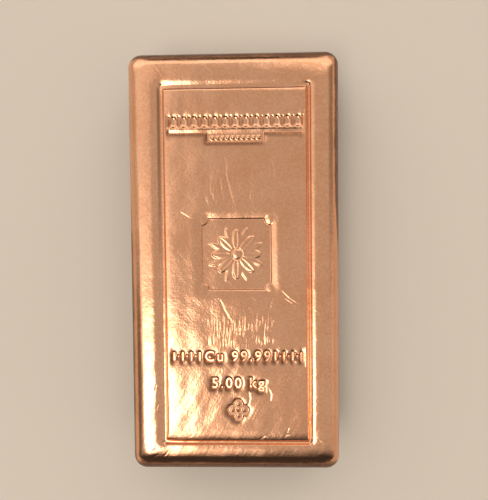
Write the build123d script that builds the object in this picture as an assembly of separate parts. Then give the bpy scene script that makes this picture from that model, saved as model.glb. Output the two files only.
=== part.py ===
from build123d import *
import os
from math import atan, cos, degrees, radians, sin, tan

# Copper ingot of five kilograms: one block, cast in an open mould and then struck from above
# with a framed die. The base's middle is the origin: z = 0 is the floor, +X runs across the
# bar, +Y along it towards the end with the long rule, +Z up to the struck face.
# Millimetres and degrees.

# The cast block
length = 183.5
width = 92.0
height = 34.8
upright_edge_radius = 5.6
wall_draft = 3.5
base_edge_radius = 2.5
shoulder_fall = 9.5
shoulder_width = 6.5
foot_shoulder_width = 9.0

# The die's mark: it stood a little to the right and leaned to the left. A groove runs all round,
# the border rolls down to it, and the cushioned panel stands inside it.
strike_offset = 1.2
strike_back = 0.45
side_border = 13.15
end_border = 13.75
left_roll_width = 4.7
right_roll_width = 2.8
end_roll_width = 2.6
border_roll_drop = 0.86
die_lean = 0.77
groove_width = 2.8
groove_floor_width = 1.0
groove_drop = 1.5
groove_corner_radius = 1.7
panel_drop = 0.5
panel_roll_width = 2.2
panel_roll_drop = 0.2
panel_corner_radius = 0.5

# The sunk rule across the panel's head, with the tab that hangs from its middle
rule_end_gap = 1.1
rule_from_frame = 20.55
rule_width = 1.6
rule_depth = 0.7
tab_width = 24.5
tab_length = 5.4

# The sunk square plaque with scooped corners
plaque_width = 29.7
plaque_length = 30.6
plaque_scoop_radius = 2.8
plaque_depth = 0.9
plaque_draft = 12.0
plaque_forward = 4.3

arc_sections = 6


def plan(plan_width, plan_length, corner, level, offset=0.0, back=0.0, lean=0.0):
    """A rounded rectangle about the bar's middle or beside it, level or lower on its left."""
    with BuildSketch(Plane((offset, -back, level)).rotated((0, -lean, 0))) as outline:
        RectangleRounded(plan_width, plan_length, corner)
    return outline.sketch.faces()[0]


def steps(first, last):
    """Even steps from first to last, both included."""
    return [first + (last - first) * index / (arc_sections - 1) for index in range(arc_sections)]


def rolled(share):
    """How far a rolled edge has fallen, from 0 at its highest line to 1 at its lip."""
    return share * (1 + share) / 2


# Shoulder: an oval quarter round all the way about, up to the border's highest line. It starts
# on the walls' tangent, and is widest at the foot.
shoulder_centre = height - shoulder_fall
start_angle = -degrees(atan(shoulder_fall / shoulder_width * tan(radians(wall_draft))))
shoulder_plans = []
for angle in steps(start_angle, 90.0):
    share = 1 - cos(radians(angle))
    side_inset = shoulder_width * share
    foot_inset = foot_shoulder_width * share
    level = shoulder_centre + shoulder_fall * sin(radians(angle))
    plan_width = width - 2 * side_inset
    plan_length = length - side_inset - foot_inset
    back = (side_inset - foot_inset) / 2
    shoulder_plans.append(plan(plan_width, plan_length, upright_edge_radius, level, back=back))
shoulder = loft(shoulder_plans)

# Walls: from the shoulder's lowest outline they lean in to the base
start_share = 1 - cos(radians(start_angle))
side_inset = shoulder_width * start_share
foot_inset = foot_shoulder_width * start_share
wall_top = shoulder_centre + shoulder_fall * sin(radians(start_angle))
base_inset = wall_top * tan(radians(wall_draft))
base_width = width - 2 * side_inset - 2 * base_inset
base_length = length - side_inset - foot_inset - 2 * base_inset
back = (side_inset - foot_inset) / 2
base = plan(base_width, base_length, upright_edge_radius - base_inset, 0, back=back)
walls = extrude(base, amount=wall_top, taper=-wall_draft)
walls = fillet(walls.faces().sort_by(Axis.Z)[0].edges(), base_edge_radius)
ingot = walls + shoulder

# Border's inner roll: it falls from the highest line to the groove's outer lip, furthest on the
# left, where the die leaned. What is cut away runs on a little past that line, into the air.
lip_width = width - 2 * side_border
lip_length = length - 2 * end_border
border_plans = []
for share in steps(1.0, -0.4):
    left_reach = (1 - share) * left_roll_width
    right_reach = (1 - share) * right_roll_width
    end_reach = (1 - share) * end_roll_width
    sideways = (right_reach - left_reach) / 2
    lean = die_lean * rolled(share)
    level = height - border_roll_drop * rolled(share) + sideways * tan(radians(lean))
    border_plans.append(
        plan(
            lip_width + left_reach + right_reach,
            lip_length + 2 * end_reach,
            groove_corner_radius + end_reach,
            level,
            strike_offset + sideways,
            strike_back,
            lean,
        )
    )
ingot -= loft(border_plans)

# Groove: sunk below the lip with sloped walls; the die's panel stands inside it
groove_floor = height - groove_drop
wall_run = (groove_width - groove_floor_width) / 2
floor_corner = groove_corner_radius - wall_run
border_lip = height - border_roll_drop
floor_width = lip_width - 2 * wall_run
floor_length = lip_length - 2 * wall_run
groove_foot = plan(floor_width, floor_length, floor_corner, groove_floor, strike_offset, strike_back)
groove_lip = plan(lip_width, lip_length, groove_corner_radius, border_lip, strike_offset, strike_back, die_lean)
ingot -= loft([groove_foot, groove_lip], ruled=True)
panel_level = height - panel_drop
panel_width = lip_width - 2 * groove_width
panel_length = lip_length - 2 * groove_width
foot_width = panel_width + 2 * wall_run
foot_length = panel_length + 2 * wall_run
panel_foot = plan(foot_width, foot_length, panel_corner_radius, groove_floor, strike_offset, strike_back)
panel_plans = []
for share in steps(1.0, 0.0):
    reach = (1 - share) * panel_roll_width
    level = panel_level - panel_roll_drop * rolled(share)
    roll_width = panel_width - 2 * reach
    roll_length = panel_length - 2 * reach
    panel_plan = plan(roll_width, roll_length, panel_corner_radius, level, strike_offset, strike_back)
    panel_plans.append(panel_plan)
ingot += loft([panel_foot, panel_plans[0]], ruled=True) + loft(panel_plans)

# Rule and tab: one sunk shape across the head of the panel
rule_middle = lip_length / 2 - strike_back - rule_from_frame
with BuildSketch(Plane.XY.offset(panel_level)) as rule:
    with Locations((strike_offset, rule_middle)):
        Rectangle(panel_width - 2 * rule_end_gap, rule_width)
    with Locations((strike_offset, rule_middle + rule_width / 2)):
        Rectangle(tab_width, tab_length, align=(Align.CENTER, Align.MAX))
ingot -= extrude(rule.sketch, amount=-rule_depth)

# Plaque: its floor is level, its walls lean out, and a round is scooped from each corner
with BuildSketch(Plane.XY.offset(panel_level)) as plaque:
    with Locations((strike_offset, plaque_forward)):
        Rectangle(plaque_width, plaque_length)
        with GridLocations(plaque_width, plaque_length, 2, 2):
            Circle(plaque_scoop_radius, mode=Mode.SUBTRACT)
ingot -= extrude(plaque.sketch, amount=-plaque_depth, taper=plaque_draft)

os.makedirs("parts", exist_ok=True)
export_step(ingot.solids()[0], "parts/ingot.step")
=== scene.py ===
import math
import bpy
import numpy as np
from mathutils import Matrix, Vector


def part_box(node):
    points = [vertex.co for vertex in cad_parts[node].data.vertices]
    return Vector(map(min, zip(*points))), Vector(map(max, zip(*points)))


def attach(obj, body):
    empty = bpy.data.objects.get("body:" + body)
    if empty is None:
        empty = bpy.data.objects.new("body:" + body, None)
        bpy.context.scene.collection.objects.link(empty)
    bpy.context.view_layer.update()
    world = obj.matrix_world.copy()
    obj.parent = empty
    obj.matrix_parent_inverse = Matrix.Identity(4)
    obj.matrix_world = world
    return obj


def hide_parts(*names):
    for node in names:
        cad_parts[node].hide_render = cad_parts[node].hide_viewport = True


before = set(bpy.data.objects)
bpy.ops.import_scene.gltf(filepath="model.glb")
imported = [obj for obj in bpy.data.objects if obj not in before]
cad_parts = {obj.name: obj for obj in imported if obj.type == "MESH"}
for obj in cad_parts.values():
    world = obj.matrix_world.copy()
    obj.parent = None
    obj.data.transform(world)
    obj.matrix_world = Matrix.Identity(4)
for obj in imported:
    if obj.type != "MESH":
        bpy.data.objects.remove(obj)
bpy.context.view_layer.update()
mm = 0.001


# The block. Five kilograms of copper poured into an open mould: the walls lean in to the
# base so that it drops out, its upright edges are round, and the shoulder is a soft oval
# round, widest at the foot. One piece of metal stands for the whole ingot node.
bar_low, bar_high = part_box("ingot")
bar_width = bar_high.x - bar_low.x
bar_length = bar_high.y - bar_low.y
bar_height = bar_high.z - bar_low.z
upright_edge_radius = 5.6 * mm
upright_edge_steps = 8
wall_draft = math.radians(3.5)
base_edge_radius = 2.5 * mm
base_edge_steps = 5
shoulder_fall = 9.5 * mm
shoulder_width = 6.5 * mm
foot_shoulder_width = 9.0 * mm
shoulder_steps = 16
tiny = 0.001 * mm


def choose(kind, test):
    """Selects the edited piece's faces or edges whose corner places pass the test, and no others."""
    bpy.ops.object.mode_set(mode="OBJECT")
    mesh = bpy.context.object.data
    places = np.array([point.co for point in mesh.vertices])
    for parts in (mesh.vertices, mesh.edges, mesh.polygons):
        parts.foreach_set("select", np.zeros(len(parts), bool))
    parts = mesh.polygons if kind == "FACE" else mesh.edges
    parts.foreach_set("select", [bool(test(places[list(part.vertices)])) for part in parts])
    bpy.context.tool_settings.mesh_select_mode = (False, kind == "EDGE", kind == "FACE")
    bpy.ops.object.mode_set(mode="EDIT")


def outline_size(inset, foot_inset):
    """The bar's widest outline, brought in by this much at the sides and head, and at the foot."""
    return np.array([bar_width - 2 * inset, bar_length - inset - foot_inset, 1])


start_angle = -math.atan(shoulder_fall / shoulder_width * math.tan(wall_draft))
start_share = 1 - math.cos(start_angle)
wall_top = bar_height - shoulder_fall * (1 - math.sin(start_angle))
base_inset = wall_top * math.tan(wall_draft)
forward = bar_length / 2 * (foot_shoulder_width - shoulder_width) / (foot_shoulder_width + shoulder_width)
full = outline_size(0, 0)
outline = outline_size(shoulder_width * start_share, foot_shoulder_width * start_share)
bpy.ops.object.select_all(action="DESELECT")
block_size = (bar_width, bar_length, wall_top)
bpy.ops.mesh.primitive_cube_add(size=1, location=(0, 0, wall_top / 2), scale=block_size)
ingot = bpy.context.object
ingot.name = "struck_ingot"
bpy.ops.object.transform_apply(location=True, rotation=True, scale=True)
bpy.ops.object.mode_set(mode="EDIT")
bpy.ops.mesh.select_all(action="SELECT")
bpy.ops.transform.resize(value=outline / full, center_override=(0, forward, 0))
choose("FACE", lambda corners: corners[:, 2].max() < tiny)
lean_in = (outline - (2 * base_inset, 2 * base_inset, 0)) / outline
bpy.ops.transform.resize(value=lean_in, center_override=(0, 0, 0))
choose("EDGE", lambda corners: np.ptp(corners[:, 2]) > tiny)
bpy.ops.mesh.bevel(offset=upright_edge_radius, segments=upright_edge_steps, affect="EDGES")
choose("FACE", lambda corners: corners[:, 2].min() > wall_top - tiny)
level = wall_top
for step in range(1, shoulder_steps + 1):
    angle = start_angle + (math.pi / 2 - start_angle) * step / shoulder_steps
    share = 1 - math.cos(angle)
    next_level = bar_height - shoulder_fall * (1 - math.sin(angle))
    next_outline = outline_size(shoulder_width * share, foot_shoulder_width * share)
    bpy.ops.mesh.extrude_region_move(TRANSFORM_OT_translate={"value": (0, 0, next_level - level)})
    bpy.ops.transform.resize(value=next_outline / outline, center_override=(0, forward, next_level))
    level = next_level
    outline = next_outline
choose("EDGE", lambda corners: corners[:, 2].max() < tiny)
bpy.ops.mesh.bevel(offset=base_edge_radius, segments=base_edge_steps, affect="EDGES")
bpy.ops.object.mode_set(mode="OBJECT")


# The struck face. A framed die came down on the hot block, a little to one side of its middle.
# Its raised frame left a groove all round, the border rolls down to the groove, deepest on the
# left where the die leaned, and the panel inside is cushioned: its edges fall away to the groove.
frame_offset = 0.68 * mm
frame_back = 0.525 * mm
side_border = 13.3 * mm
end_border = 13.675 * mm
lip_half_width = bar_width / 2 - side_border
lip_half_length = bar_length / 2 - end_border
lip_corner = 2.2 * mm
groove_width = 2.8 * mm
groove_wall = 0.9 * mm
groove_narrowing = {"left": 0, "right": 0.65 * mm, "head": 0, "foot": 0.95 * mm}
groove_levels = {"left": 1.5 * mm, "right": 1.4 * mm, "head": 0.75 * mm, "foot": 1.35 * mm}
groove_rounding = 0.4 * mm
outer_walls = {"left": 0.9 * mm, "right": 0.6 * mm, "head": 0.9 * mm, "foot": 0.6 * mm}
inner_walls = {"left": 0.9 * mm, "right": 0.9 * mm, "head": 0.45 * mm, "foot": 0.65 * mm}
border_rolls = {"left": 4.9 * mm, "right": 3.5 * mm, "head": 3.6 * mm, "foot": 2.6 * mm}
border_falls = {"left": 0.75 * mm, "right": 0.38 * mm, "head": 0.45 * mm, "foot": 0.09 * mm}
border_bends = {"left": 4, "right": 3, "head": 3, "foot": 2}
crown_starts = {"left": 4.6 * mm, "right": 2.8 * mm, "head": 4.2 * mm, "foot": 0.5 * mm}
crown_falls = {"left": 0.09 * mm, "right": 0.03 * mm, "head": 0.14 * mm, "foot": 0.22 * mm}
crown_run = 3.3 * mm
panel_level = 0.5 * mm
head_lift = 0.25 * mm
head_lift_start = 38.0 * mm
head_lift_run = 37.0 * mm
panel_rolls = {
    "left": (2.6 * mm, 0.12 * mm),
    "right": (1.4 * mm, 0.1 * mm),
    "head": (1.7 * mm, 0.22 * mm),
    "foot": (6 * mm, 0.54 * mm),
}
side_blend = 1.5 * mm
heave_waves = 7
heave_rise = 0.022 * mm
shortest_heave = 9.0 * mm
heave_growth = 4.3 * mm


def score(places, axis):
    """Runs a line of edges right round the bar at each of these places on the axis."""
    direction = [float(axis == index) for index in range(3)]
    for place in places:
        bpy.ops.mesh.select_all(action="SELECT")
        bpy.ops.mesh.bisect(plane_co=[place * part for part in direction], plane_no=direction)


def frame_lines(half, middle):
    """Places of the edge lines across one direction: close at the groove, wide on the panel."""
    groove_lines = np.arange(-3.2 * mm, 0.6 * mm, 0.2 * mm)
    roll_lines = np.array([-5.7, -5.1, -4.5, -3.8, 1.1, 1.6, 2.2, 2.8, 3.5, 4.2, 4.9, 5.7]) * mm
    near = np.concatenate([groove_lines, roll_lines]) + half
    inner = half - 6.5 * mm
    wide = np.linspace(-inner, inner, int(2 * inner / (2.3 * mm)) + 1)
    return np.concatenate([near, -near, wide]) + middle


bpy.ops.object.mode_set(mode="EDIT")
score(frame_lines(lip_half_width, frame_offset), 0)
score(frame_lines(lip_half_length, -frame_back), 1)
bpy.ops.object.mode_set(mode="OBJECT")


def places_of(mesh):
    """Every corner's place, one row each."""
    places = np.empty(len(mesh.vertices) * 3)
    mesh.vertices.foreach_get("co", places)
    return places.reshape(-1, 3)


def refine(test, cell):
    """
    Divides the struck face's squares wherever the test holds, until none is wider than the cell.
    A square whose neighbours are finer has more than four corners, and is cut into triangles first.
    """
    while True:
        mesh = ingot.data
        middles = np.empty(len(mesh.polygons) * 3)
        areas = np.empty(len(mesh.polygons))
        mesh.polygons.foreach_get("center", middles)
        mesh.polygons.foreach_get("area", areas)
        middles = middles.reshape(-1, 3)
        sides = np.sqrt(areas)
        wanted = (middles[:, 2] > bar_height - tiny) & (sides > cell)
        wanted[wanted] = test(middles[wanted, 0], middles[wanted, 1], sides[wanted])
        if not wanted.any():
            return
        corners = np.empty(len(mesh.polygons), int)
        mesh.polygons.foreach_get("loop_total", corners)
        crowded = wanted & (corners > 4)
        if crowded.any():
            wanted = crowded
        mesh.vertices.foreach_set("select", np.zeros(len(mesh.vertices), bool))
        mesh.edges.foreach_set("select", np.zeros(len(mesh.edges), bool))
        mesh.polygons.foreach_set("select", wanted)
        bpy.context.tool_settings.mesh_select_mode = (False, False, True)
        bpy.ops.object.mode_set(mode="EDIT")
        if crowded.any():
            bpy.ops.mesh.quads_convert_to_tris()
        else:
            bpy.ops.mesh.subdivide(number_cuts=1, ngon=False, quadcorner="INNERVERT")
        bpy.ops.object.mode_set(mode="OBJECT")


def beyond_lip(x, y):
    """How far each place lies outside the groove's outer lip; inside the lip it is below zero."""
    past_x = np.abs(x - frame_offset) - (lip_half_width - lip_corner)
    past_y = np.abs(y + frame_back) - (lip_half_length - lip_corner)
    outside = np.hypot(np.maximum(past_x, 0), np.maximum(past_y, 0))
    return outside + np.minimum(np.maximum(past_x, past_y), 0) - lip_corner


def by_side(values, x, y):
    """Each place's value from those of the four sides, blended round the corners."""
    past_x = np.abs(x - frame_offset) - lip_half_width
    past_y = np.abs(y + frame_back) - lip_half_length
    beside = 1 / (1 + np.exp(np.clip((past_y - past_x) / side_blend, -30, 30)))
    across = np.where(x < frame_offset, values["left"], values["right"])
    along = np.where(y > 0, values["head"], values["foot"])
    return beside * across + (1 - beside) * along


def rounded_step(beyond, high, low):
    """Runs from 0 at the higher place to 1 at the lower, along a straight wall with rounded ends."""
    step = 0.02 * mm
    run = np.arange(-4.5 * mm, 1.5 * mm, step)
    wall = np.clip((high - run) / (high - low), 0, 1)
    window = np.hanning(round(groove_rounding / step))
    margin = len(window) // 2
    padded = np.pad(wall, margin, mode="edge")
    rounded = np.convolve(padded, window / window.sum(), "same")[margin:margin + len(run)]
    return np.interp(beyond, run, rounded)


def panel_edge_fall(x, y):
    """How far the panel's rolled edges fall away beside the groove."""
    half_width = lip_half_width - groove_width
    half_length = lip_half_length - groove_width
    inward = {
        "left": half_width - frame_offset + x,
        "right": half_width + frame_offset + groove_narrowing["right"] - x,
        "head": half_length - frame_back - y,
        "foot": half_length + frame_back + groove_narrowing["foot"] + y,
    }
    total = np.zeros_like(x)
    for side, (width, fall) in panel_rolls.items():
        total += (fall * np.clip(1 - inward[side] / width, 0, 1) ** 3) ** 3
    return np.cbrt(total)


def face_fall(x, y):
    """How far the plain struck face lies below the border's highest line."""
    beyond = beyond_lip(x, y)
    to_roll_end = np.clip(1 - np.maximum(beyond, 0) / by_side(border_rolls, x, y), 0, 1)
    roll = to_roll_end ** by_side(border_bends, x, y)
    crown = np.maximum((beyond - by_side(crown_starts, x, y)) / crown_run, 0)
    crown = np.where(crown < 1, crown ** 2, 2 * crown - 1)
    border = by_side(border_falls, x, y) * roll + by_side(crown_falls, x, y) * crown
    lifted = head_lift * np.clip((y - head_lift_start) / head_lift_run, 0, 1) ** 2
    panel = panel_level - lifted + panel_edge_fall(x, y)
    groove = by_side(groove_levels, x, y)
    into_groove = rounded_step(beyond * groove_wall / by_side(outer_walls, x, y), 0, -groove_wall)
    inner = beyond - by_side(groove_narrowing, x, y) + groove_width
    onto_panel = rounded_step(inner * groove_wall / by_side(inner_walls, x, y), groove_wall, 0)
    return border + (groove - border) * into_groove - (groove - panel) * onto_panel


def heave(x, y):
    """The slow rise and sink of metal that was pressed while soft: waves that cross each other."""
    total = np.zeros_like(x)
    for turn in range(heave_waves):
        angle = 2.4 * turn
        wave = shortest_heave + turn * heave_growth
        along = (x * math.cos(angle) + y * math.sin(angle)) / wave
        total += heave_rise * np.sin(2 * math.pi * along + 1.7 * turn)
    return total


# The marks. The die's own raised figures are sunk in the panel: a beaded band over a ruled line
# with a small tab, a scoop-cornered plaque with a flower, the fineness, the weight, and a small
# four-lobed punch at the foot. Soft metal was drawn down round each of them.
strike_offset = 1.2 * mm
draw_reach = 1.7 * mm
letter_stroke = 1.1 * mm
line_length = 57.4 * mm

band_middle = 61.0 * mm
band_height = 4.0 * mm
band_units = 13
band_pitch = line_length / band_units
band_bead_width = 2.6 * mm
band_reel_width = 1.05 * mm

rule_middle = 57.0 * mm
rule_width = 1.6 * mm
tab_width = 24.5 * mm
tab_length = 5.4 * mm
tab_bead_pitch = 2.2 * mm
tab_bead_radius = 0.72 * mm
tab_bead_count = 10

plaque_width = 29.7 * mm
plaque_length = 30.6 * mm
plaque_middle = 4.3 * mm
plaque_scoop = 2.8 * mm
petal_count = 8
petal_start = 2.6 * mm
petal_end = 10.6 * mm
petal_half_width = 2.35 * mm
petal_rise = 0.42 * mm
vein_depth = 0.14 * mm
leaf_end = 12.2 * mm
leaf_half_width = 1.5 * mm
leaf_rise = 0.26 * mm
boss_radius = 2.3 * mm
boss_rise = 0.55 * mm
ring_radius = 2.85 * mm
ring_half_width = 0.3 * mm
ring_rise = 0.3 * mm

fineness_middle = -40.0 * mm
weight_middle = -51.65 * mm
cap_height = 4.3 * mm
cap_share = 0.69
letter_weight = 0.24 * mm
letter_spacing = 1.26
side_bar_count = 7
side_bar_pitch = 1.86 * mm
side_bar_start = 16.4 * mm

punch_middle = -63.4 * mm
lobe_place = 2.55 * mm
lobe_radius = 2.25 * mm
punch_bead = 0.75 * mm


def write_flat(body, middle_y):
    """A line of plain letters lying on the bar, as the two end places of each edge of their outline."""
    bpy.ops.object.select_all(action="DESELECT")
    bpy.ops.object.text_add(location=(strike_offset, middle_y - cap_height / 2, 0))
    text = bpy.context.object
    text.data.body = body
    text.data.size = cap_height / cap_share
    text.data.align_x = "CENTER"
    text.data.resolution_u = 4
    text.data.offset = letter_weight
    text.data.space_character = letter_spacing
    bpy.ops.object.convert(target="MESH")
    bpy.ops.object.transform_apply(location=True, rotation=True, scale=True)
    letters = bpy.context.object
    mesh = letters.data
    sides = np.empty(len(mesh.loops), int)
    mesh.loops.foreach_get("edge_index", sides)
    ends = np.empty(len(mesh.edges) * 2, int)
    mesh.edges.foreach_get("vertices", ends)
    rim = ends.reshape(-1, 2)[np.bincount(sides, minlength=len(mesh.edges)) == 1]
    outline = places_of(mesh)[rim][:, :, :2]
    bpy.data.objects.remove(letters)
    return outline


def from_outline(outline, x, y):
    """Each place's distance from an outline, below zero inside it; far ones are only called far."""
    low = outline.min(axis=(0, 1)) - draw_reach
    high = outline.max(axis=(0, 1)) + draw_reach
    near = np.flatnonzero((x > low[0]) & (x < high[0]) & (y > low[1]) & (y < high[1]))
    distance = np.full(len(x), 2 * draw_reach)
    start = outline[:, 0]
    run = outline[:, 1] - start
    rise = np.where(run[:, 1] == 0, tiny, run[:, 1])
    for rows in np.array_split(near, len(near) // 2000 + 1):
        across = x[rows, None] - start[:, 0]
        along = y[rows, None] - start[:, 1]
        share = np.clip((across * run[:, 0] + along * run[:, 1]) / (run ** 2).sum(axis=1), 0, 1)
        gap = np.hypot(across - share * run[:, 0], along - share * run[:, 1]).min(axis=1)
        straddles = (along < 0) != (along < run[:, 1])
        crossed = straddles & (across < along / rise * run[:, 0])
        distance[rows] = np.where(crossed.sum(axis=1) % 2 == 1, -gap, gap)
    return distance


def from_bar(x, y, half_width, half_length, corner):
    """Each place's distance from a round-cornered rectangle about the origin, below zero inside it."""
    past_x = np.abs(x) - half_width + corner
    past_y = np.abs(y) - half_length + corner
    outside = np.hypot(np.maximum(past_x, 0), np.maximum(past_y, 0))
    return outside + np.minimum(np.maximum(past_x, past_y), 0) - corner


# A mark's own function gives each place's distance from the mark's edge, below zero inside it.
def band_unit(x):
    """How far each place is along the bar's width from the middle of its unit of the beaded band."""
    return (x - strike_offset + line_length / 2) % band_pitch - band_pitch / 2


def outside_band(x):
    return np.abs(x - strike_offset) - line_length / 2


def band_beads(x, y):
    half = band_bead_width / 2
    oval = np.hypot(band_unit(x), (y - band_middle) * band_bead_width / band_height) - half
    return np.maximum(oval, outside_band(x))


def band_reels(x, y):
    from_edge = band_pitch / 2 - np.abs(band_unit(x))
    reel = from_bar(from_edge, y - band_middle, band_reel_width / 2, band_height / 2, band_reel_width / 2)
    return np.maximum(reel, outside_band(x))


def rule_and_tab(x, y):
    across = x - strike_offset
    rule = from_bar(across, y - rule_middle, line_length / 2, rule_width / 2, 0.3 * mm)
    tab_centre = rule_middle + rule_width / 2 - tab_length / 2
    tab = from_bar(across, y - tab_centre, tab_width / 2, tab_length / 2, 0.8 * mm)
    return np.minimum(rule, tab)


def tab_beads(x, y):
    across = x - strike_offset
    row = rule_middle - tab_length / 2
    number = np.clip(np.floor(across / tab_bead_pitch), -tab_bead_count / 2, tab_bead_count / 2 - 1)
    return np.hypot(across - (number + 0.5) * tab_bead_pitch, y - row) - tab_bead_radius


def plaque(x, y):
    across = x - strike_offset
    along = y - plaque_middle
    plate = from_bar(across, along, plaque_width / 2, plaque_length / 2, 0.1 * mm)
    scoop = plaque_scoop - np.hypot(np.abs(across) - plaque_width / 2, np.abs(along) - plaque_length / 2)
    return np.maximum(plate, scoop)


def petal(x, y, end, half_width, turn):
    """How far inside a pointed petal each place is, 1 on its spine and 0 from its edge on."""
    across = x - strike_offset
    along = y - plaque_middle
    sector = 2 * math.pi / petal_count
    angle = (np.arctan2(along, across) - turn + sector / 2) % sector - sector / 2
    reach = np.hypot(across, along)
    share = np.clip((reach * np.cos(angle) - petal_start) / (end - petal_start), 0, 1)
    half = half_width * np.sqrt(np.sin(math.pi * share ** 0.8)) + tiny
    return np.clip(1 - (reach * np.sin(angle) / half) ** 2, 0, 1) * (share > 0) * (share < 1)


def flower_rise(x, y):
    """The plaque's raised flower: petals with a sunk vein, leaves between, a boss and a ring round it."""
    across = x - strike_offset
    along = y - plaque_middle
    reach = np.hypot(across, along)
    petals = petal(x, y, petal_end, petal_half_width, 0)
    leaves = petal(x, y, leaf_end, leaf_half_width, math.pi / petal_count)
    vein = vein_depth * np.clip(petals * 8 - 7, 0, 1)
    raised = np.maximum(petal_rise * np.sqrt(petals) - vein, leaf_rise * np.sqrt(leaves))
    boss = np.clip(1 - (reach / boss_radius) ** 2, 0, 1)
    ring = np.clip(1 - ((reach - ring_radius) / ring_half_width) ** 2, 0, 1)
    raised = np.maximum(raised, boss_rise * np.sqrt(boss))
    return np.maximum(raised, ring_rise * np.sqrt(ring))


def side_bars(x, y):
    """The upright strokes at both ends of the fineness line, each second one cut short to a bead."""
    half_width = letter_stroke / 2
    across = np.abs(x - strike_offset) - side_bar_start
    number = np.clip(np.round(across / side_bar_pitch), 0, side_bar_count - 1)
    half_length = np.where(number % 2 == 1, half_width, cap_height / 2)
    across = across - number * side_bar_pitch
    return from_bar(across, y - fineness_middle, half_width, half_length, half_width)


def from_lobe_middle(x, y):
    """Each place's distance from the middle of the punch's nearest lobe."""
    across = np.abs(x - strike_offset)
    along = np.abs(y - punch_middle)
    return np.minimum(np.hypot(across - lobe_place, along), np.hypot(across, along - lobe_place))


def punch(x, y):
    return from_lobe_middle(x, y) - lobe_radius


def punch_beads(x, y):
    from_centre = np.hypot(x - strike_offset, y - punch_middle)
    return np.minimum(from_lobe_middle(x, y), from_centre) - punch_bead


fineness_outline = write_flat("Cu 99.99", fineness_middle)
weight_outline = write_flat("5.00 kg", weight_middle)
bpy.context.view_layer.objects.active = ingot


def fineness(x, y):
    return np.minimum(from_outline(fineness_outline, x, y), side_bars(x, y))


def weight(x, y):
    return from_outline(weight_outline, x, y)


def letter_middles(outline):
    """The middle of each letter along the line: letters are parted where no edge of the outline runs."""
    spans = np.sort(outline[:, :, 0], axis=1)
    spans = spans[np.argsort(spans[:, 0])]
    reach = np.maximum.accumulate(spans[:, 1])
    firsts = np.append(0, np.flatnonzero(spans[1:, 0] > reach[:-1]) + 1)
    lasts = np.append(firsts[1:] - 1, len(spans) - 1)
    return (spans[firsts, 0] + reach[lasts]) / 2


def from_middle(x, middles):
    """How far each place is to the right of the middle of its nearest letter."""
    return x - middles[np.abs(x[:, None] - middles).argmin(axis=1)]


side_bar_places = side_bar_start + side_bar_pitch * np.arange(side_bar_count)
side_bar_middles = np.concatenate([strike_offset + side_bar_places, strike_offset - side_bar_places])
fineness_middles = np.concatenate([letter_middles(fineness_outline), side_bar_middles])
weight_middles = letter_middles(weight_outline)
letter_lean = 0.085
rule_lean = 0.34
tab_lean = 0.13
letter_cut = {"depth": 0.5 * mm, "wall": 0.25 * mm, "drawn": 0.34 * mm}
marks = [
    {"shape": band_beads, "depth": 0.5 * mm, "wall": 1.1 * mm, "drawn": 0.46 * mm, "reach": 2.3 * mm},
    {"shape": band_reels, "depth": 0.42 * mm, "wall": 0.35 * mm, "drawn": 0.46 * mm, "reach": 2.3 * mm},
    {"shape": rule_and_tab, "depth": 0.12 * mm, "wall": 0.3 * mm, "drawn": 0.26 * mm},
    {"shape": tab_beads, "depth": -0.4 * mm, "wall": 0.9 * mm, "drawn": 0},
    {"shape": plaque, "depth": 0.45 * mm, "wall": 0.4 * mm, "drawn": 0.5 * mm, "reach": 3.6 * mm},
    {"shape": fineness, "middles": fineness_middles, **letter_cut},
    {"shape": weight, "middles": weight_middles, **letter_cut},
    {"shape": punch, "depth": 0.45 * mm, "wall": 0.35 * mm, "drawn": 0.3 * mm},
    {"shape": punch_beads, "depth": -0.3 * mm, "wall": 0.6 * mm, "drawn": 0},
]
sag_depth = 0.13 * mm
sag_reach = 6.0 * mm
sags = (
    {"middle": band_middle, "half_width": line_length / 2, "half_length": band_height / 2},
    {"middle": rule_middle - 1.9 * mm, "half_width": tab_width / 2, "half_length": tab_length / 2},
    {"middle": plaque_middle, "half_width": plaque_width / 2, "half_length": plaque_length / 2},
    {"middle": fineness_middle, "half_width": line_length / 2, "half_length": cap_height / 2},
    {"middle": weight_middle, "half_width": 9.0 * mm, "half_length": cap_height / 2},
)


def marks_fall(x, y):
    """
    How far the marks sink the panel. Each has a rounded rim, a steep wall and a floor, which leans in
    letters, rule and tab, and lies in a shallow sag of its own.
    """
    cut = np.zeros_like(x)
    drawn = np.zeros_like(x)
    for sag in sags:
        beside = from_bar(x - strike_offset, y - sag["middle"], sag["half_width"], sag["half_length"], mm)
        cut = np.maximum(cut, sag_depth * np.clip(1 - np.maximum(beside, 0) / sag_reach, 0, 1) ** 2)
    for mark in marks:
        distance = mark["shape"](x, y)
        inside = np.clip(0.5 - distance / mark["wall"], 0, 1)
        depth = mark["depth"]
        if "middles" in mark:
            depth = depth - letter_lean * from_middle(x, mark["middles"])
        if mark["shape"] == rule_and_tab:
            down = np.maximum(rule_middle + rule_width / 2 - y, 0)
            depth = depth + rule_lean * np.minimum(down, rule_width)
            depth = depth + tab_lean * np.maximum(down - rule_width, 0)
        cut += depth * inside ** 2 * (3 - 2 * inside)
        beside = np.clip(1 - np.maximum(distance, 0) / mark.get("reach", draw_reach), 0, 1)
        drawn = np.maximum(drawn, mark["drawn"] * beside ** 2)
    return cut + drawn - flower_rise(x, y)


darkening_shift_left = 0.7 * mm
darkening_shift_down = 0.9 * mm
darkening_reach = 1.5 * mm
darkening_strengths = ((fineness, 1), (weight, 1), (punch, 0.8), (rule_and_tab, 1), (band_beads, 0.5))
panel_head = lip_half_length - frame_back - groove_width + 0.25 * mm
head_darkening_half_width = 0.1 * mm
head_darkening_reach = 0.5 * mm


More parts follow.
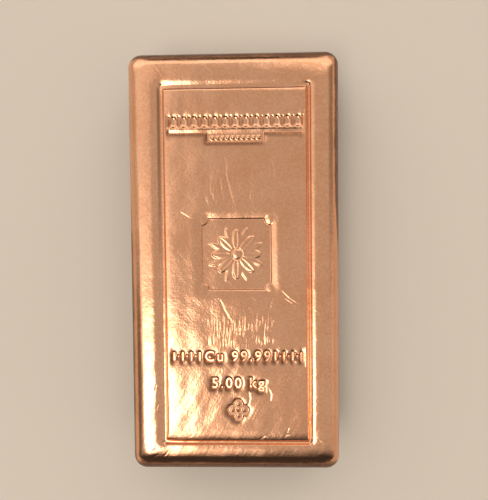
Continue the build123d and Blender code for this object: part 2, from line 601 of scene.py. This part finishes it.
def darkening_beside_marks(x, y):
    """Darker brown beside the marks, mostly under and left of them, and in a thin line at the panel's
    head.
    """
    total = np.zeros_like(x)
    for shape, strength in darkening_strengths:
        nearest = np.maximum(shape(x + darkening_shift_left, y + darkening_shift_down), 0)
        outside = np.clip(shape(x, y) / (0.2 * mm), 0, 1)
        total = np.maximum(total, strength * outside * np.clip(1 - nearest / darkening_reach, 0, 1) ** 1.5)
    half_run = lip_half_width - groove_width
    thin = head_darkening_half_width
    from_head_edge = np.maximum(from_bar(x - frame_offset, y - panel_head, half_run, thin, thin), 0)
    return np.maximum(total, np.clip(1 - from_head_edge / head_darkening_reach, 0, 1))


def near_mark_edge(x, y, reach):
    """Whether each place is within reach of an edge of a mark."""
    near = np.zeros(len(x), bool)
    for mark in marks:
        near |= np.abs(mark["shape"](x, y)) < reach
    return near


def near_flower(x, y):
    return np.hypot(x - strike_offset, y - plaque_middle) < leaf_end


# The wear. Gouges and nicks from other bars, scratches, and the soft folds that the pressed metal
# drew above the plaque, under it and round the punch. Each runs along a bent line on the face,
# whose corners are in millimetres from the die's middle line and from the bar's middle.
gouges = {
    "paths": (
        ((-24.1, 22.6), (-19.8, 19.9)),
        ((19.0, -11.5), (22.3, -14.8), (26.3, -17.5)),
        ((20.2, -14.9), (23.4, -17.1)),
        ((22.0, -70.8), (20.9, -73.8), (19.5, -77.1)),
        ((31.2, -68.4), (30.6, -70.4)),
        ((9.4, -76.4), (12.5, -74.0)),
    ),
    "half_width": 0.33 * mm,
    "depth": 0.08 * mm,
}
nicks = {
    "paths": (
        ((-36.1, -54.5), (-35.4, -52.3)),
        ((-35.5, -62.8), (-34.5, -60.2)),
        ((-32.8, -84.0), (-30.4, -81.2)),
        ((-37.4, -81.4), (-36.0, -79.6)),
        ((-37.8, -85.0), (-35.2, -82.7)),
        ((34.5, -76.0), (36.1, -77.7)),
        ((34.7, 85.4), (34.9, 85.7)),
    ),
    "half_width": 0.42 * mm,
    "depth": 0.1 * mm,
}
scuffs = {
    "paths": (
        ((-34.8, 84.7), (-30.6, 79.3)),
        ((-36.6, 82.4), (-33.3, 78.8)),
        ((-33.4, 85.6), (-30.9, 82.6)),
    ),
    "half_width": 0.35 * mm,
    "depth": 0.03 * mm,
}
folds = {
    "paths": (
        ((4.5, -55.0), (5.1, -58.2), (4.4, -61.1)),
        ((13.05, -53.6), (14.2, -56.6), (13.87, -59.7)),
    ),
    "half_width": 0.65 * mm,
    "depth": 0.11 * mm,
}
wrinkles = {
    "paths": (
        ((-6.1, 48.7), (-4.4, 42.6), (-4.5, 38.7), (-2.8, 31.3), (-0.7, 24.8)),
        ((-7.3, 37.9), (-5.5, 25.7)),
        ((-11.1, 31.0), (-9.0, 25.7)),
        ((-13.7, 29.3), (-12.5, 25.8)),
        ((14.7, 46.3), (16.8, 34.1)),
        ((-7.5, -15.3), (-5.6, -20.1), (-2.5, -25.1)),
        ((15.1, -14.6), (13.3, -20.6), (12.4, -24.1)),
    ),
    "half_width": 0.9 * mm,
    "depth": 0.06 * mm,
}
wear_kinds = (gouges, nicks, scuffs, folds, wrinkles)


def from_path(path, x, y):
    """Each place's distance from a bent line, and how far along the line that is, from 0 to 1."""
    corners = np.array(path) * mm + (strike_offset, 0)
    lengths = np.hypot(*np.diff(corners, axis=0).T)
    distance = np.full(len(x), np.inf)
    share = np.zeros(len(x))
    for index, (start, end) in enumerate(zip(corners[:-1], corners[1:])):
        run = end - start
        part = np.clip(((x - start[0]) * run[0] + (y - start[1]) * run[1]) / (run @ run), 0, 1)
        gap = np.hypot(x - start[0] - part * run[0], y - start[1] - part * run[1])
        here = (lengths[:index].sum() + part * lengths[index]) / lengths.sum()
        share = np.where(gap < distance, here, share)
        distance = np.minimum(distance, gap)
    return distance, share


def worn_fall(x, y):
    """How far the wear sinks the face: each line is deepest in its middle and runs out at its ends."""
    total = np.zeros_like(x)
    for wear in wear_kinds:
        for path in wear["paths"]:
            distance, share = from_path(path, x, y)
            across = np.clip(1 - (distance / wear["half_width"]) ** 2, 0, 1) ** 2
            total += wear["depth"] * across * np.sqrt(np.clip(4 * share * (1 - share) + 0.1, 0, 1))
    return total


def near_wear(x, y, wear, reach):
    """Whether each place is within reach of a line of this wear."""
    near = np.zeros(len(x), bool)
    for path in wear["paths"]:
        near |= from_path(path, x, y)[0] < wear["half_width"] + reach
    return near


# The face gets small squares where it has fine forms, and then takes its shape. The oval shoulder
# beside it moves less and less, down to where it has fallen six tenths of its height.
moved_depth = 0.6 * shoulder_fall
refine(lambda x, y, side: beyond_lip(x, y) < -groove_width - 0.5 * side, 1.3 * mm)
for wear in wear_kinds:
    refine(lambda x, y, side: near_wear(x, y, wear, 0.4 * side), 0.55 * wear["half_width"])
refine(lambda x, y, side: near_mark_edge(x, y, 0.7 * side + 0.4 * mm), 0.3 * mm)
refine(lambda x, y, side: near_flower(x, y), 0.3 * mm)
refine(lambda x, y, side: near_mark_edge(x, y, 0.7 * side + 0.1 * mm), 0.16 * mm)
places = places_of(ingot.data)
on_top = places[:, 2] > bar_height - moved_depth
x, y, z = places[on_top].T
held = 1 - (bar_height - z) / moved_depth
on_panel = beyond_lip(x, y) < -groove_width
fall = face_fall(x, y) + worn_fall(x, y) - heave(x, y) + np.where(on_panel, marks_fall(x, y), 0)
places[on_top, 2] = z - held * fall
ingot.data.vertices.foreach_set("co", places.ravel())
darkening_by_corner = np.zeros(len(places))
darkening_by_corner[on_top] = darkening_beside_marks(x, y)
ingot.data.attributes.new("darkening", "FLOAT", "POINT").data.foreach_set("value", darkening_by_corner)
ingot.data.update()
for face in ingot.data.polygons:
    face.use_smooth = True


# The copper's finish. Bare metal, bright where the die pressed it and where hands and other bars
# rub it, mottled by light tarnish, and left with a dull brown cast skin on the walls and base. The
# same brown is painted in a band round the top's outer edges as painted shade.
bright_copper = (0.91, 0.47, 0.27, 1)
tarnished_copper = (0.80, 0.375, 0.195, 1)
# Brown of the cast skin on the walls and base, also painted round the top's outer edges as painted shade.
pale_skin_and_shade = (0.27, 0.125, 0.07, 1)
dark_skin_and_shade = (0.13, 0.057, 0.031, 1)
# Darker brown laid on the face beside the marks and in a thin line at the panel's head.
darkening_brown = (0.2, 0.08, 0.04, 1)


class Shade:
    """A shader socket in its node tree; an expression on it adds the Math nodes that work it out."""

    def __init__(self, tree, socket=None):
        self.tree = tree
        self.socket = socket

    def output(self, name):
        """Another output of the node that this socket is on."""
        return Shade(self.tree, self.socket.node.outputs[name])

    def node(self, kind, sockets, output=0, **settings):
        """Adds any node: its settings first, then the value or link of each socket."""
        made = self.tree.nodes.new(kind)
        for name, setting in settings.items():
            setattr(made, name, setting)
        for name, given in sockets.items():
            if isinstance(given, Shade):
                self.tree.links.new(given.socket, made.inputs[name])
            else:
                made.inputs[name].default_value = given
        return Shade(self.tree, made.outputs[output])

    def worked(self, operation, first, second):
        return self.node("ShaderNodeMath", {0: first, 1: second}, operation=operation)

    def __add__(self, other):
        return self.worked("ADD", self, other)

    def __sub__(self, other):
        return self.worked("SUBTRACT", self, other)

    def __rsub__(self, other):
        return self.worked("SUBTRACT", other, self)

    def __mul__(self, other):
        return self.worked("MULTIPLY", self, other)

    __radd__ = __add__
    __rmul__ = __mul__

    def larger(self, other):
        return self.worked("MAXIMUM", self, other)

    def blend(self, none, full):
        """One colour where this is 0, the other where it is 1."""
        sockets = {"Factor": self, 6: none, 7: full}
        return self.node("ShaderNodeMix", sockets, output=2, data_type="RGBA")

    def between(self, low, high):
        """0 below low, 1 above high, and a soft rise from one to the other."""
        sockets = {"Value": self, "From Min": low, "From Max": high}
        return self.node("ShaderNodeMapRange", sockets, interpolation_type="SMOOTHSTEP")

    def speckle(self, width, length=None, turn=0, detail=2):
        """Noise about 0.5, in blotches of this width and length, turned about the upright."""
        shrink = (1 / width, 1 / (length or width), 1 / width)
        sockets = {"Vector": self, "Angle": turn}
        turned = self.node("ShaderNodeVectorRotate", sockets, rotation_type="Z_AXIS")
        squeezed = self.node("ShaderNodeVectorMath", {0: turned, 1: shrink}, operation="MULTIPLY")
        return self.node("ShaderNodeTexNoise", {"Vector": squeezed, "Scale": 1, "Detail": detail})


copper = bpy.data.materials.new("struck_copper")
copper.use_nodes = True
metal = copper.node_tree.nodes["Principled BSDF"]
place = Shade(copper.node_tree).node("ShaderNodeTexCoord", {}, output="Object")
across = place.node("ShaderNodeSeparateXYZ", {"Vector": place}, output="X")
along = across.output("Y")
up = across.output("Z")

rubbed = place.speckle(14 * mm, detail=3)
fine = place.speckle(1.1 * mm, detail=3)
ragged = 1.2 * mm * (rubbed - 0.5)
upper = along.between(-5 * mm, 35 * mm)
from_left = bar_width / 2 + across + ragged + 1.2 * mm * upper
from_right = bar_width / 2 - across + ragged - 1.9 * mm * upper
from_head = bar_length / 2 - along + ragged
from_foot = bar_length / 2 + along + ragged
# Painted shade: a ragged band of the skin's brown along the top's outer edges, of its own width on each
# side.
outer = 1 - from_left.between(1.2 * mm, 2.8 * mm)
outer = outer.larger(1 - from_right.between(0.1 * mm, 1.0 * mm))
outer = outer.larger(1 - from_head.between(2.4 * mm, 4.6 * mm))
outer = outer.larger(1 - from_foot.between(3.0 * mm, 6.0 * mm))
skin_and_rim_shade = outer.larger(1 - up.between(bar_height - 8.5 * mm, bar_height - 6.5 * mm))

tone = (0.9 * (rubbed - 0.5) + 1.3 * (fine - 0.5) + 0.5).between(0.1, 0.9)
struck = tone.blend(tarnished_copper, bright_copper)
skin_and_shade_colour = tone.blend(dark_skin_and_shade, pale_skin_and_shade)
darkening_attribute = place.node("ShaderNodeAttribute", {}, output="Fac", attribute_name="darkening")
darkening = darkening_attribute * (0.4 + 0.8 * fine)
colour = skin_and_rim_shade.blend(darkening.blend(struck, darkening_brown), skin_and_shade_colour)

drawn_down = across.between(-13 * mm, -9 * mm) * (1 - across.between(15 * mm, 20 * mm))
under_plaque = along.between(-37 * mm, -33 * mm) * (1 - along.between(-27 * mm, -19 * mm))
over_plaque = along.between(22 * mm, 28 * mm) * (1 - along.between(38 * mm, 48 * mm))
streaks = place.speckle(1.0 * mm, 8 * mm, turn=0.06, detail=2)
patchy = place.speckle(5 * mm, 7 * mm, detail=1).between(0.36, 0.62)
streaked = drawn_down * patchy * (0.34 * under_plaque + 0.1 * over_plaque) * (streaks - 0.5)
scratches = place.speckle(0.5 * mm, 16 * mm, turn=0.5, detail=1).between(0.66, 0.74)
crossed = place.speckle(0.5 * mm, 13 * mm, turn=-0.75, detail=1).between(0.68, 0.76)
cast_grain = place.speckle(2.6 * mm, detail=3)
brushed = place.speckle(3.2 * mm, 26 * mm, turn=0.5) * (1 - along.between(-50 * mm, -25 * mm))
relief = 0.03 * place.speckle(0.8 * mm) + 0.1 * place.speckle(5 * mm) + 0.09 * brushed + streaked
relief = relief - 0.006 * scratches - 0.006 * crossed
relief = relief + skin_and_rim_shade * (0.22 * cast_grain + 0.05 * fine)
bump_sockets = {"Height": relief, "Strength": 1, "Distance": 1 * mm}
bumped = place.node("ShaderNodeBump", bump_sockets, output="Normal")
dulled = 0.11 + 0.05 * (1 - tone) + 0.22 * skin_and_rim_shade

metal.inputs["Metallic"].default_value = 1.0
copper.node_tree.links.new(colour.socket, metal.inputs["Base Color"])
copper.node_tree.links.new(dulled.socket, metal.inputs["Roughness"])
copper.node_tree.links.new(bumped.socket, metal.inputs["Normal"])
ingot.data.materials.append(copper)
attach(ingot, "root")
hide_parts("ingot")


# The floor: pale, plain and matt, wide enough for every view, and a hair below the bar's base so
# that the two faces never lie in one plane.
floor_size = 8
floor_level = -0.05 * mm
floor_colour = (0.80, 0.68, 0.55, 1)
bpy.ops.object.select_all(action="DESELECT")
bpy.ops.mesh.primitive_plane_add(size=floor_size, location=(0, 0, floor_level))
floor = bpy.context.object
floor.name = "floor"
pale = bpy.data.materials.new("pale_floor")
pale.use_nodes = True
pale_shader = pale.node_tree.nodes["Principled BSDF"]
pale_shader.inputs["Base Color"].default_value = floor_colour
pale_shader.inputs["Roughness"].default_value = 0.8
floor.data.materials.append(pale)


# The light: pale and soft, brightest in a broad window low on the left, with a lamp at its edge,
# dark towards the foot, where nothing is lit, and with a low pale wall all round. The backdrop
# that the camera sees past the floor is as plain and pale as that wall. Directions are given by
# how far they point to the right and to the head, from -1 to 1.
room_white = (1, 0.98, 0.95, 1)
wall_colour = (1, 0.86, 0.71, 1)
wall_strength = 0.6
room = bpy.data.worlds.new("room")
bpy.context.scene.world = room
room.use_nodes = True
facing = Shade(room.node_tree).node("ShaderNodeTexCoord", {}, output="Generated")
rightward = facing.node("ShaderNodeSeparateXYZ", {"Vector": facing}, output="X")
headward = rightward.output("Y")
upward = rightward.output("Z")


def patch(across_range, along_range, edge):
    """1 in the middle of a box of directions, and a soft fall to 0 over its edges."""
    left = rightward.between(across_range[0] - edge, across_range[0] + edge)
    right = 1 - rightward.between(across_range[1] - edge, across_range[1] + edge)
    near = headward.between(along_range[0] - edge, along_range[0] + edge)
    far = 1 - headward.between(along_range[1] - edge, along_range[1] + edge)
    return left * right * near * far


window = 4.4 * patch((-0.34, -0.15), (-0.6, -0.18), 0.06)
wide_window = 0.7 * patch((-0.5, -0.235), (-0.6, -0.12), 0.14)
upper_window = 0.65 * patch((-0.7, -0.21), (-0.2, 0.06), 0.08)
pale_corner = 0.35 * patch((-0.85, -0.18), (0.05, 0.6), 0.12)
foot_glow = 0.12 * patch((-0.15, 0.0), (-0.4, -0.27), 0.06)
low_glow = 1.0 * patch((-0.3, 0.0), (-0.68, -0.43), 0.05)
head_glow = 0.85 * patch((-2.0, 2.0), (0.57, 0.87), 0.08)
head_corner = 0.6 * patch((0.02, 0.45), (0.39, 0.62), 0.07)
right_glow = 0.15 * patch((0.92, 2.0), (-0.6, 0.0), 0.06)
right_shade = 0.3 * patch((0.7, 2.0), (0.0, 1.2), 0.2)
dark_head = 0.55 * headward.between(0.88, 0.97)
lit_end = headward.between(-0.83, -0.34)
dark_corner = patch((-1.3, -0.7), (-1.3, -0.1), 0.14)
glow = 0.6 + window + wide_window + upper_window + pale_corner + foot_glow + low_glow
glow = glow + head_glow + head_corner + right_glow - right_shade - dark_head
glow = (0.08 + 0.92 * lit_end) * (1 - 0.7 * dark_corner) * glow
seen = facing.node("ShaderNodeLightPath", {}, output="Is Camera Ray")
plain = seen.larger(1 - upward.between(0.08, 0.13))
tint = plain.blend(room_white, wall_colour)
strength = glow * (1 - plain) + wall_strength * plain
sky = room.node_tree.nodes["Background"]
room.node_tree.links.new(tint.socket, sky.inputs["Color"])
room.node_tree.links.new(strength.socket, sky.inputs["Strength"])

lamp_place = (-0.44, -0.36, 1.05)
lamp_width = 0.32
lamp_height = 0.24
lamp_power = 0.22
bpy.ops.object.light_add(type="AREA", location=lamp_place)
lamp = bpy.context.object
lamp.name = "window_lamp"
lamp.data.shape = "RECTANGLE"
lamp.data.size = lamp_width
lamp.data.size_y = lamp_height
lamp.data.energy = lamp_power
lamp.rotation_euler = (-lamp.location).to_track_quat("-Z", "Y").to_euler()


# The camera: straight above, as the photograph was taken, a little towards the head and right.
camera_place = (10.5 * mm, 13.43 * mm, 248.45 * mm)
camera_turn = (math.radians(-1.971), math.radians(1.607), math.radians(-0.528))
bpy.ops.object.camera_add(location=camera_place, rotation=camera_turn)
camera = bpy.context.object
camera.data.sensor_fit = "AUTO"
camera.data.sensor_width = 36
camera.data.lens = 36
camera.data.clip_start = 1 * mm
bpy.context.scene.camera = camera
bpy.context.scene.view_settings.view_transform = "Standard"
